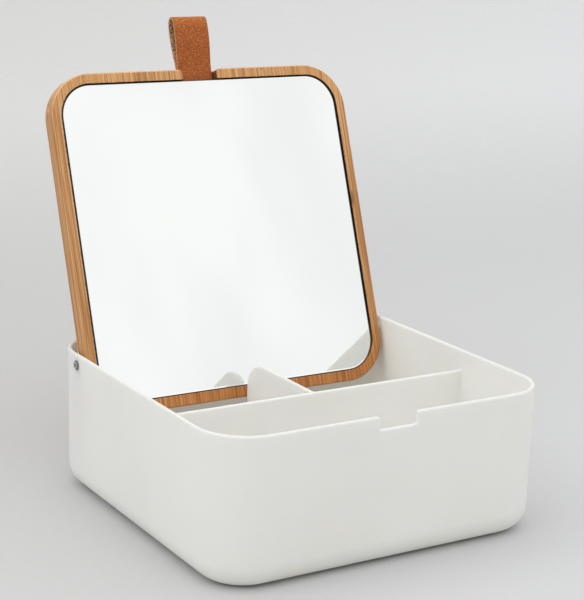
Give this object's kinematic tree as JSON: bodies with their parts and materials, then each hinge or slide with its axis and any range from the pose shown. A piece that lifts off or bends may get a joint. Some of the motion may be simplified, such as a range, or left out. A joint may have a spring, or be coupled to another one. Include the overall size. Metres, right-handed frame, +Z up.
{
  "type": "vanity box with mirror",
  "caption": "Square moulded storage box with divided compartments and an inset hinged bamboo lid that carries a mirror inside and a leather pull loop.",
  "frame": {"origin": "centre of the tub's flat underside, on the surface it stands on", "axes": "+Z up, +Y towards the hinge side, +X to the right seen from the front"},
  "size_m": [0.202, 0.2354, 0.2551],
  "materials": {
    "moulded_plastic": "fine satin moulded white plastic",
    "bamboo": "clear-lacquered bamboo with long fine grain",
    "mirror": "silvered glass mirror with a ground arris",
    "foam_tape": "black double-sided foam tape",
    "leather": "tan brown grained leather, suede inside",
    "screw_steel": "plated steel",
    "washer_nylon": "natural nylon"
  },
  "bodies": {
    "box": {"box_shell": "moulded_plastic"},
    "lid": {"lid_board": "bamboo", "mirror_glass": "mirror", "mirror_tape": "foam_tape", "leather_strap": "leather", "pivot_screw_left": "screw_steel", "pivot_screw_right": "screw_steel", "pivot_washer_left": "washer_nylon", "pivot_washer_right": "washer_nylon"}
  },
  "joints": [
    {"name": "lid_hinge", "type": "hinge", "parent": "box", "child": "lid", "pos_m": [0, 0.0659, 0.0739], "axis": [1, 0, 0], "range_deg": [0, 110]}
  ]
}
